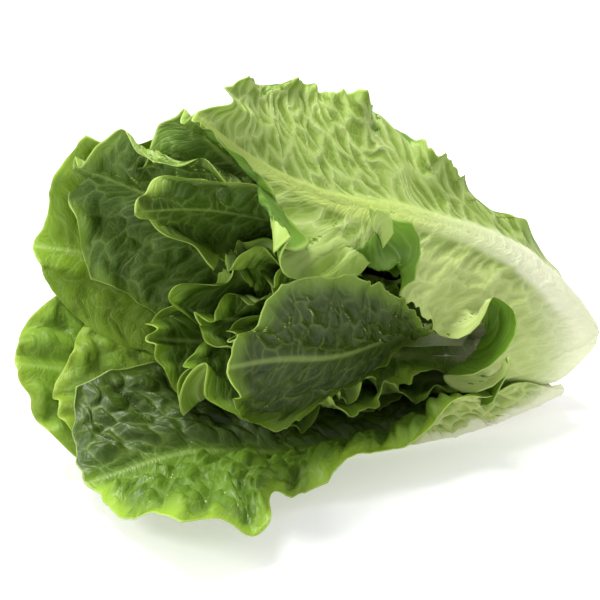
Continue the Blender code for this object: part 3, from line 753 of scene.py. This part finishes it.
def curled(grid, leaf, look):
    """The grid with its margins curled and rippled, by turning the steps between its points."""
    rows, columns = grid.shape[0] - 1, grid.shape[1] - 1
    at = Places(leaf, rows, columns)
    reach = smooth((np.abs(at.v) - (1 - RIPPLED_PART)) / RIPPLED_PART)
    angle = look.ripple * uneven(at.u * 3.1 + np.sign(at.v), look.waves, leaf.phase)
    angle *= smooth(at.u / 0.25) * reach
    stretch = np.ones_like(angle)
    slant, fan = np.zeros_like(angle), np.zeros_like(angle)
    for side, place, spread, turn, begin, bend, wider, slanted, fanned in look.curls:
        near = np.exp(-(((at.u - place) / spread) ** 4)) * (np.sign(at.v) == side)
        angle += turn * near * smooth((np.abs(at.v) - begin) / bend)
        slant += slanted * near
        fan += fanned * near
        stretch += wider * near * smooth(np.abs(at.v) / 0.2)
    steps = np.diff(grid, axis=1) * halfway(stretch, 1)[..., None]
    lengthways, sideways = unit(np.gradient(grid, axis=0)), unit(np.gradient(grid, axis=1))
    slant = np.radians(slant)[..., None]
    steps = turned(steps, unit(halfway(np.cross(sideways, lengthways), 1)), np.radians(halfway(fan, 1)))
    axis = unit(halfway(np.cos(slant) * lengthways + np.sin(slant) * sideways, 1))
    steps = turned(steps, axis, -np.sign(halfway(at.v, 1)) * np.radians(halfway(angle, 1)))
    middle = columns // 2
    made = np.empty_like(grid)
    made[:, middle] = grid[:, middle]
    made[:, middle + 1 :] = made[:, middle, None] + np.cumsum(steps[:, middle:], axis=1)
    made[:, :middle] = made[:, middle, None] - np.cumsum(steps[:, :middle][:, ::-1], axis=1)[:, ::-1]
    reach = smooth((at.u - (1 - RIPPLED_TIP)) / RIPPLED_TIP)
    angle = look.tip_ripple * uneven(at.v * 1.7, 0.6 * look.waves, leaf.phase + 1) * reach
    steps = np.diff(made, axis=0)
    axis = unit(halfway(np.gradient(made, axis=1), 0))
    steps = turned(steps, axis, np.radians(halfway(angle, 0)))
    made[1:] = made[0] + np.cumsum(steps, axis=0)
    return made


CREEP_STEPS = 8
CREEP_GAP = 1.5  # what is left between the middle surfaces of two leaves
CREEP_REACH = 6.0


def tree_of_others(points, triangles, i, reach=math.inf):
    """A search tree of all the leaves but one, or of those within reach of it, and their numbers."""
    low, high = points[i].min(axis=0) - reach, points[i].max(axis=0) + reach
    gathered, faces, kept, count = [], [], [], 0
    for j, other in enumerate(points):
        if i == j or np.any(other.min(axis=0) > high) or np.any(other.max(axis=0) < low):
            continue
        gathered.append(other)
        faces.append(triangles[j] + count)
        kept.append(j)
        count += len(other)
    return BVHTree.FromPolygons(np.concatenate(gathered).tolist(), np.concatenate(faces).tolist()), kept


def creep(starts, aims):
    """Move grids from their starts towards their aims, each point stopping short of the other leaves."""
    shapes = [grid.shape for grid in starts]
    points = [grid.reshape(-1, 3).copy() for grid in starts]
    firsts = [grid.reshape(-1, 3) for grid in starts]
    aims = [grid.reshape(-1, 3) for grid in aims]
    triangles = [grid_triangles(shape) for shape in shapes]
    for step in range(1, CREEP_STEPS + 1):
        moved = []
        for i, own in enumerate(points):
            tree, _ = tree_of_others(points, triangles, i, CREEP_REACH)
            aim = firsts[i] + (aims[i] - firsts[i]) * step / CREEP_STEPS
            move = aim - own
            size = np.linalg.norm(move, axis=1)
            share = np.ones(len(own))
            for k in np.flatnonzero(size > 0.02):
                found = tree.find_nearest(own[k].tolist(), CREEP_REACH)
                if found[0] is None:
                    continue
                towards = np.dot(move[k], np.array(found[0]) - own[k])
                if towards > 0:
                    room = max(0.0, (found[3] - CREEP_GAP) / 2)
                    share[k] = min(1.0, room / size[k])
            share = evened(share.reshape(shapes[i][:2]), 2).ravel()
            moved.append(own + move * share[:, None])
            moved[-1][:, 2] = np.maximum(moved[-1][:, 2], BLADE / 2)
        points = moved
    return [own.reshape(shape) for own, shape in zip(points, shapes)]


ROOM_REACH = 12.0
ROOM_KEPT = 1.5  # the two blades' halves, the raised veins, and a gap


FINE_RIB_WIDTHS = (13.0, 6.0, 1.6)  # from the base to the tip, as are the next two
FINE_RIB_HEIGHTS = (4.0, 2.2, 0.5)
RIB_LINE_WIDTHS = (7.0, 1.6, 0.6)  # of the pale line along the rib, on the inner side


def ridge(at, widths, power):
    """1 on a leaf's midrib, and down to nothing beside it."""
    return np.exp(-np.abs(at.across / along(widths, at.u)) ** power)


def rib_heights(leaf, at):
    """How far the rib stands out on the outer side, at a leaf's places."""
    return leaf.stout * along(FINE_RIB_HEIGHTS, at.u) * ridge(at, FINE_RIB_WIDTHS, 3)


def rooms(grids):
    """How far each grid's points may rise on their inner side before they meet another leaf or its rib."""
    points = [grid.reshape(-1, 3) for grid in grids]
    triangles = [grid_triangles(grid.shape) for grid in grids]
    ribs = []
    for leaf, grid in zip(LEAVES, grids):
        ribs.append(rib_heights(leaf, Places(leaf, grid.shape[0] - 1, grid.shape[1] - 1)).ravel())
    made = []
    for i, grid in enumerate(grids):
        tree, others = tree_of_others(points, triangles, i)
        rib = np.concatenate([ribs[j][triangles[j]].max(axis=1) for j in others])
        own, normals = points[i], unit(evened(normals_of(grid), 2)).reshape(-1, 3)
        room = np.full(len(own), ROOM_REACH)
        for k, (point, normal) in enumerate(zip(own.tolist(), normals.tolist())):
            ahead = tree.ray_cast(point, normal, ROOM_REACH)
            near = tree.find_nearest(point, ROOM_REACH)
            if ahead[0] is not None:
                room[k] = ahead[3] - rib[ahead[2]]
            if near[0] is not None and np.dot(np.array(near[0]) - point, normal) > 0:
                room[k] = min(room[k], near[3] - rib[near[2]])
        made.append(np.maximum(room - ROOM_KEPT, 0).reshape(grid.shape[:2]))
    return made


# ---------------------------------------------------------------- veins and blisters


class Graph:
    """Short ways to add nodes to a material's or a modifier's tree."""

    def __init__(self, tree):
        self.tree = tree

    def node(self, kind, inputs=(), **settings):
        made = self.tree.nodes.new(kind)
        for name, value in settings.items():
            setattr(made, name, value)
        for name, value in dict(inputs).items():
            self.put(made.inputs[name], value)
        return made

    def put(self, socket, value):
        if isinstance(value, bpy.types.NodeSocket):
            self.tree.links.new(value, socket)
        else:
            socket.default_value = value

    def math(self, operation, a, b=0.0, c=0.0, clamp=False):
        made = self.node("ShaderNodeMath", {0: a, 1: b, 2: c}, operation=operation, use_clamp=clamp)
        return made.outputs[0]

    def times(self, a, b):
        return self.math("MULTIPLY", a, b)

    def line(self, value, slope, start):
        """The value times the slope, plus the start."""
        return self.math("MULTIPLY_ADD", value, slope, start)

    def vector(self, x, y, z=0.0):
        return self.node("ShaderNodeCombineXYZ", {0: x, 1: y, 2: z}).outputs[0]

    def parts(self, vector):
        return self.node("ShaderNodeSeparateXYZ", {0: vector}).outputs

    def noise(self, vector, scale, detail=2.0, roughness=0.5):
        made = self.node("ShaderNodeTexNoise", {"Vector": vector, "Scale": scale, "Detail": detail})
        made.inputs["Roughness"].default_value = roughness
        return made.outputs

    def from_edge(self, vector, size):
        """How far the nearest edge of a cell is, in the vector's units."""
        settings = {"feature": "DISTANCE_TO_EDGE", "voronoi_dimensions": "2D"}
        made = self.node("ShaderNodeTexVoronoi", {"Vector": vector, "Scale": 1 / size}, **settings)
        return self.times(made.outputs["Distance"], size)

    def rise(self, value, low, high):
        """0 at low and 1 at high, with a soft rise between."""
        ends = {"Value": value, "From Min": low, "From Max": high}
        return self.node("ShaderNodeMapRange", ends, interpolation_type="SMOOTHSTEP").outputs["Result"]

    def mix(self, share, first, second):
        made = self.node("ShaderNodeMix", {0: share}, data_type="RGBA")
        self.put(made.inputs[6], first)
        self.put(made.inputs[7], second)
        return made.outputs[2]


SEED_SHIFT = 731.0  # how far apart two leaves' patterns are taken
WARP_SCALE = 0.07
WARP = 13.0  # how far the veins wander
SIDES_APART = 0.23  # how far the two sides' veins are out of step, as a share of their spacing


def vein_pattern(graph, place):
    """From a leaf's place (across, along its side veins, a seed), in millimetres: the distance to the
    nearest side vein and to the nearest small vein, and where the small veins' cells are read."""
    across, course, seed = graph.parts(place)
    shifted = graph.vector(graph.line(seed, SEED_SHIFT, across), course)
    warp = graph.parts(graph.noise(shifted, WARP_SCALE, 2.0)[1])
    bent_across = graph.line(warp[0], WARP, across)
    bent_course = graph.line(warp[1], WARP, course)
    side = graph.times(graph.math("SIGN", across), SIDES_APART)
    turns = graph.math("ADD", graph.times(bent_course, 1 / VEIN_SPACING), side)
    turns = graph.math("ADD", turns, seed)
    middle = graph.math("ABSOLUTE", graph.math("SUBTRACT", graph.math("FRACT", turns), 0.5))
    to_side_vein = graph.times(middle, VEIN_SPACING)
    cells = graph.vector(graph.line(seed, SEED_SHIFT, graph.times(bent_across, CELL_DRAW)), bent_course)
    to_small_vein = graph.from_edge(cells, CELL)
    return to_side_vein, to_small_vein, cells


def placed(name, data):
    """A new object in the scene."""
    made = bpy.data.objects.new(name, data)
    bpy.context.scene.collection.objects.link(made)
    return made


def pattern_at(places):
    """The same two distances, read at points, by a modifier that holds the same nodes."""
    tree = bpy.data.node_groups.new("read_pattern", "GeometryNodeTree")
    for way in ("INPUT", "OUTPUT"):
        tree.interface.new_socket("Geometry", in_out=way, socket_type="NodeSocketGeometry")
    graph = Graph(tree)
    place = graph.node("GeometryNodeInputPosition").outputs[0]
    to_side_vein, to_small_vein, _ = vein_pattern(graph, place)
    result = graph.vector(to_side_vein, to_small_vein)
    given = graph.node("NodeGroupInput").outputs[0]
    moved = graph.node("GeometryNodeSetPosition", {"Geometry": given, "Position": result})
    graph.node("NodeGroupOutput", {0: moved.outputs[0]})
    mesh = bpy.data.meshes.new("read_pattern")
    mesh.from_pydata(places.tolist(), [], [])
    reader = placed("read_pattern", mesh)
    reader.modifiers.new("read", "NODES").node_group = tree
    evaluated = reader.evaluated_get(bpy.context.evaluated_depsgraph_get()).data
    found = np.empty(len(places) * 3, np.float32)
    evaluated.vertices.foreach_get("co", found)
    bpy.data.objects.remove(reader)
    bpy.data.meshes.remove(mesh)
    bpy.data.node_groups.remove(tree)
    return found.reshape(-1, 3)[:, 0], found.reshape(-1, 3)[:, 1]


EDGE_BAND = 14.0  # lobes and teeth draw the blade out over this far from the margin
LOBE_COUNT = 17
TOOTH_COUNT = 47
PUFF_EDGE = 6.0  # how far from a side vein the broad puffs reach their height
DOME_EDGE = 1.9  # and the small blisters, from a small vein
RAISED_SIDE_VEIN = (0.55, 0.9)  # its height on the outer side, and its width
RAISED_SMALL_VEIN = (0.25, 0.6)


def fine_leaf(leaf, look, grid, room):
    """The points of a leaf's two sides, and what its material reads."""
    rows, columns = look.cells
    at = Places(leaf, rows, columns)
    grid = finer_grid(grid, rows, columns)
    room = finer_grid(room[..., None], rows, columns)[..., 0]
    course = at.along - SIDE_VEIN_SLOPE * np.abs(at.across)
    place = np.stack((at.across, course, np.full_like(course, leaf.phase / 7)), axis=-1)
    side_vein, small_vein = pattern_at(place.reshape(-1, 3))
    side_vein, small_vein = side_vein.reshape(at.u.shape), small_vein.reshape(at.u.shape)
    normals = unit(evened(normals_of(grid), 2))
    # The margin's lobes and teeth, drawn out along the blade.
    sideways = unit(np.gradient(grid, axis=1)) * np.sign(at.v)[..., None]
    outwards = sideways * smooth(1 - at.from_side / EDGE_BAND)[..., None]
    outwards += unit(np.gradient(grid, axis=0)) * smooth(1 - at.from_tip / EDGE_BAND)[..., None]
    tooth = look.lobes * uneven(at.round, LOBE_COUNT, leaf.phase)
    tooth += look.teeth * uneven(at.round, TOOTH_COUNT, leaf.phase + 2)
    grid = grid + outwards * (tooth * smooth(at.u / 0.2))[..., None]
    # Blisters between the veins, and broad puffs between the side veins, away from rib and margin.
    fade = smooth(at.margin / look.flat_margin) * smooth((np.abs(at.across) - 2) / 10)
    fade *= smooth((at.u - 0.06) / 0.2)
    puff, dome = 1 - bell(side_vein, PUFF_EDGE), 1 - bell(small_vein, DOME_EDGE)
    height = look.blister * fade * (1.3 * puff + 1.0 * dome)
    height = height / (1 + (height / (room + 0.001)) ** 4) ** 0.25  # held under the room
    grid = grid + normals * height[..., None]
    grid[..., 2] = np.maximum(grid[..., 2], FINE_BLADE / 2 + 0.05)
    normals = normals_of(grid)
    (high, wide), (low, narrow) = RAISED_SIDE_VEIN, RAISED_SMALL_VEIN
    veins = high * bell(side_vein, wide) * smooth(1.2 - at.u) + low * bell(small_vein, narrow)
    raised = rib_heights(leaf, at) + veins * smooth(at.margin / 6)
    inner = grid + normals * (FINE_BLADE / 2)
    outer = grid - normals * (FINE_BLADE / 2 + raised)[..., None]
    outer[..., 2] = np.maximum(outer[..., 2], 0.0)
    inner[..., 2] = np.maximum(inner[..., 2], outer[..., 2] + 0.1)
    ribs = ridge(at, FINE_RIB_WIDTHS, 3), ridge(at, RIB_LINE_WIDTHS, 2)
    return inner, outer, place, at, ribs


def write(mesh, name, values):
    """Keep vectors at a mesh's points, for its material."""
    kept = mesh.attributes.new(name, "FLOAT_VECTOR", "POINT")
    kept.data.foreach_set("vector", values.astype(np.float32).ravel())


def twice(values):
    """The same values for a leaf's inner side and for its outer side."""
    return np.concatenate((values, values))


def leaf_mesh(leaf, look, grid, room, shift):
    """A leaf's finished object."""
    inner, outer, place, at, ribs = fine_leaf(leaf, look, grid, room)
    points = (np.concatenate((inner.reshape(-1, 3), outer.reshape(-1, 3))) - shift) * MM
    index, corners = grid_index(at.u.shape)
    a, b, c, d = (k.ravel() for k in corners)
    count = index.size
    inside = np.stack((a, b, d, c), 1)
    rim, beside = rim_of(index)
    edge = np.stack((beside, rim, rim + count, beside + count), 1)
    faces = np.concatenate((inside, inside[:, ::-1] + count, edge))
    mesh = bpy.data.meshes.new(leaf.name + "_fine")
    mesh.from_pydata(points.tolist(), [], faces.tolist())
    mesh.shade_smooth()
    write(mesh, "place", twice(place.reshape(-1, 3)))
    outside = np.concatenate((np.zeros(count), np.ones(count)))
    write(mesh, "where", np.stack((twice(at.margin.ravel()), twice(at.u.ravel()), outside), axis=1))
    write(mesh, "rib", np.stack([twice(k.ravel()) for k in (*ribs, np.abs(at.across))], axis=1))
    made = placed(leaf.name + "_fine", mesh)
    mesh.materials.append(leaf_material(leaf, look))
    return made


def linear(colour):
    """A colour given in display values from 0 to 255, as the shader takes it."""
    return tuple((k / 255) ** 2.2 for k in colour) + (1.0,)


DARKER = 0.38  # the light left in a leaf's dark patches, and in the painted shade on its side towards larger phi
WHITE = linear((243, 244, 214))  # the base, and the rib near it
PALE_VEIN = linear((206, 218, 150))
# painted light: the pale colour laid where a leaf's outer side is lit near the base
PAINTED_LIGHT_NEAR_BASE = linear((198, 214, 132))
INNER_VEIN = linear((150, 176, 96))
INNER_LINE = linear((166, 188, 104))
RIB_TOWARDS_TIP = linear((188, 208, 112))
RIM = linear((176, 200, 104))
LIT_THROUGH = linear((190, 215, 70))
FINE_CELL = 2.6


def read(graph, name):
    return graph.node("ShaderNodeAttribute", attribute_name=name).outputs["Vector"]


def inner_side(graph, look, across, margin, mottle):
    """The colour of the side towards the axis: dark patches, a paler margin, and on some leaves painted shade
    towards larger phi.
    """
    near_margin = graph.rise(graph.line(mottle, 10.0, margin), 16.0, 3.0)
    inner = graph.mix(near_margin, linear(look.inner), linear(look.edge))
    darker = tuple(k * DARKER for k in linear(look.inner)[:3]) + (1.0,)
    inner = graph.mix(graph.times(graph.rise(mottle, 0.5, 0.7), 0.6), inner, darker)
    # painted shade: the inner side darkened towards larger phi, where the real leaf lies in shadow
    if look.far_painted_shade:
        far = graph.rise(across, -6.0, 12.0)
        inner = graph.mix(graph.times(far, look.far_painted_shade), inner, darker)
    return inner


def outer_side(graph, look, across, up, small_vein, mottle):
    """The colour of the side away from the axis: greener windows between the small veins, and on some leaves
    painted light near the base towards larger phi.
    """
    window = graph.times(graph.rise(small_vein, 0.5, 2.6), graph.rise(mottle, 0.2, 0.55))
    outer = graph.mix(window, linear(look.outer), linear(look.spots))
    if look.near_painted_light:
        # painted light: the outer side made paler towards larger phi near the base, where the real leaf is
        # lit
        painted_light_part = graph.times(graph.rise(across, 2.0, 20.0), graph.rise(up, 0.75, 0.5))
        outer = graph.mix(graph.times(painted_light_part, look.near_painted_light), outer, PAINTED_LIGHT_NEAR_BASE)
    return outer


def vein_net(graph, side_vein, small_vein, fine_cells, cells):
    """How strongly the net of veins shows."""
    strength = graph.rise(graph.noise(cells, 0.09, 2.0)[0], 0.3, 0.7)
    small = graph.times(graph.rise(small_vein, 0.55, 0.1), graph.line(strength, 0.4, 0.2))
    soft = graph.times(graph.rise(small_vein, 2.0, 0.0), 0.24)
    large = graph.times(graph.rise(side_vein, 1.0, 0.2), graph.line(strength, 0.3, 0.25))
    finest = graph.times(graph.rise(fine_cells, 0.5, 0.0), 0.12)
    return graph.math("MAXIMUM", graph.math("MAXIMUM", graph.math("MAXIMUM", small, soft), large), finest)


def leaf_material(leaf, look):
    material = bpy.data.materials.new(leaf.name + "_skin")
    material.use_nodes = True
    tree = material.node_tree
    tree.nodes.clear()
    graph = Graph(tree)
    place = read(graph, "place")
    across = graph.parts(place)[0]
    margin, up, outside = graph.parts(read(graph, "where"))
    rib, line, from_rib = graph.parts(read(graph, "rib"))
    side_vein, small_vein, cells = vein_pattern(graph, place)
    fine_cells = graph.from_edge(cells, FINE_CELL)
    mottle = graph.noise(cells, 0.06, 4.0, 0.6)[0]
    fine = graph.noise(cells, 0.5, 3.0, 0.6)[0]
    veins = vein_net(graph, side_vein, small_vein, fine_cells, cells)
    veins = graph.times(veins, graph.rise(margin, 0.0, 6.0))
    inner = inner_side(graph, look, across, margin, mottle)
    inner = graph.mix(graph.times(veins, look.veined), inner, INNER_VEIN)
    inner = graph.mix(graph.times(line, 0.35), inner, INNER_LINE)
    outer = outer_side(graph, look, across, up, small_vein, mottle)
    outer = graph.mix(graph.math("MULTIPLY", veins, 1.2, clamp=True), outer, PALE_VEIN)
    rib_colour = graph.mix(graph.rise(up, 0.62, 0.15), RIB_TOWARDS_TIP, WHITE)
    outer = graph.mix(graph.rise(rib, 0.15, 0.7), outer, rib_colour)
    blade = graph.mix(outside, inner, outer)
    blade = graph.mix(graph.times(graph.rise(margin, 1.0, 0.1), 0.6), blade, RIM)
    height_up = graph.line(from_rib, 0.005, graph.line(fine, 0.1, up))
    blade = graph.mix(graph.rise(height_up, look.white, look.white * 0.3), blade, WHITE)
    bump = graph.node("ShaderNodeBump", {"Strength": 0.35, "Distance": 0.0006})
    height = graph.math("ADD", graph.times(graph.rise(fine_cells, 0.0, 0.7), 0.6), fine)
    graph.put(bump.inputs["Height"], height)
    shader = graph.node("ShaderNodeBsdfPrincipled", {"Base Color": blade, "Normal": bump.outputs[0]})
    graph.put(shader.inputs["Roughness"], graph.line(fine, 0.25, 0.3))
    shader.inputs["Specular IOR Level"].default_value = look.gloss
    through = graph.node("ShaderNodeBsdfTranslucent", {"Color": graph.mix(0.35, blade, LIT_THROUGH)})
    both = graph.node("ShaderNodeMixShader", {0: look.through, 1: shader.outputs[0], 2: through.outputs[0]})
    graph.node("ShaderNodeOutputMaterial", {0: both.outputs[0]})
    return material


# ---------------------------------------------------------------- stem, floor, light and camera


FLOOR_REACH = 4.0  # metres, as below
SKY_LIGHT = 0.8
LIT_PLACE = (0, 0, 0.08)
# Each light's name, place, size and power in watts.
LIGHTS = (("key", (-0.2, 0.05, 0.9), 0.45, 11.5), ("side", (-0.7, -0.35, 0.5), 0.3, 3.5))

BUTT_SKIN = linear((234, 232, 208))
BUTT_STAIN = linear((190, 150, 96))


def principled(name):
    """A new material, its graph and its shader's inputs."""
    material = bpy.data.materials.new(name)
    material.use_nodes = True
    return material, Graph(material.node_tree), material.node_tree.nodes["Principled BSDF"].inputs


def stem_material():
    material, graph, shader = principled("stem_skin")
    spot = graph.node("ShaderNodeTexCoord").outputs["Object"]
    stain = graph.rise(graph.noise(spot, 90.0, 5.0, 0.6)[0], 0.45, 0.7)
    graph.put(shader["Base Color"], graph.mix(graph.times(stain, 0.5), BUTT_SKIN, BUTT_STAIN))
    shader["Roughness"].default_value = 0.5
    bump = graph.node("ShaderNodeBump", {"Strength": 0.4, "Distance": 0.0005})
    graph.put(bump.inputs["Height"], graph.noise(spot, 600.0, 3.0, 0.6)[0])
    graph.put(shader["Normal"], bump.outputs[0])
    return material


def paper_material():
    """Plain white paper, lit a little from itself so that it stays white beside the head."""
    material, _, shader = principled("floor")
    shader["Base Color"].default_value = (0.7, 0.7, 0.7, 1)
    shader["Roughness"].default_value = 0.8
    shader["Emission Color"].default_value = (1, 1, 1, 1)
    shader["Emission Strength"].default_value = 0.42
    return material


def aim(thing, at):
    """Point a lamp or a camera at a place."""
    thing.rotation_mode = "QUATERNION"
    thing.rotation_quaternion = (Vector(at) - thing.location).to_track_quat("-Z", "Y")


def add_light(name, place, size, power):
    data = bpy.data.lights.new(name, "AREA")
    data.shape = "DISK"
    data.size = size
    data.energy = power
    lamp = placed(name, data)
    lamp.location = place
    aim(lamp, LIT_PLACE)


def add_studio():
    mesh = bpy.data.meshes.new("floor")
    far = FLOOR_REACH
    mesh.from_pydata([(-far, -far, 0), (far, -far, 0), (far, far, 0), (-far, far, 0)], [], [(0, 1, 2, 3)])
    mesh.materials.append(paper_material())
    placed("floor", mesh)
    world = bpy.data.worlds.new("white")
    bpy.context.scene.world = world
    world.use_nodes = True
    sky = world.node_tree.nodes["Background"].inputs
    sky["Color"].default_value = (1, 1, 1, 1)
    sky["Strength"].default_value = SKY_LIGHT
    for light in LIGHTS:
        add_light(*light)
    bpy.context.scene.view_settings.view_transform = "Standard"


CAMERA_HEIGHT = 20.0  # degrees above the surface
CAMERA_LENS = 100.0
CAMERA_AWAY = 766.7
CAMERA_AIM = np.array((0.0, 0.0, 78.5))


def add_camera(shift):
    data = bpy.data.cameras.new("camera")
    data.lens = CAMERA_LENS
    data.sensor_width = 36.0
    camera = placed("camera", data)
    bpy.context.scene.camera = camera
    target = Vector((CAMERA_AIM - shift) * MM)
    rise = math.radians(CAMERA_HEIGHT)
    camera.location = target + Vector((0, -math.cos(rise), math.sin(rise))) * CAMERA_AWAY * MM
    aim(camera, target)


def main():
    """Settle the leaves as the frame's were, give each its fine surface, and light the head."""
    settled = settled_leaves()
    lows = []
    for leaf, (grid, rib) in zip(LEAVES, settled):
        lows.append(solid_points(grid, rib, 0 if leaf.on_floor else FLOOR_GAP).min(axis=0))
    shift = np.min(lows, axis=0) - np.array(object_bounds()[0]) / MM
    looks = [LOOKS.get(leaf.name, Look()) for leaf in LEAVES]
    starts = [finer_grid(grid, *look.middle) for look, (grid, _) in zip(looks, settled)]
    aims = [curled(grid, leaf, look) for leaf, look, grid in zip(LEAVES, looks, starts)]
    grids = creep(starts, aims)
    for leaf, look, grid, room in zip(LEAVES, looks, grids, rooms(grids)):
        made = leaf_mesh(leaf, look, grid, room, shift)
        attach(made, "root")
        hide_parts(leaf.name)
    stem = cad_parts["stem"]
    stem.data.materials.clear()
    stem.data.materials.append(stem_material())
    add_studio()
    add_camera(shift)


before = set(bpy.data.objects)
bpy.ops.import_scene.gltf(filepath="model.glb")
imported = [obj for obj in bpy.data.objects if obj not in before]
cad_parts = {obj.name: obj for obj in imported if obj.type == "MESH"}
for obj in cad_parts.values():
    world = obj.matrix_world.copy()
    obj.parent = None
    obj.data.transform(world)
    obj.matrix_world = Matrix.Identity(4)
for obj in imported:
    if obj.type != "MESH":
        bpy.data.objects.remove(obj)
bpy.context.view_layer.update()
main()
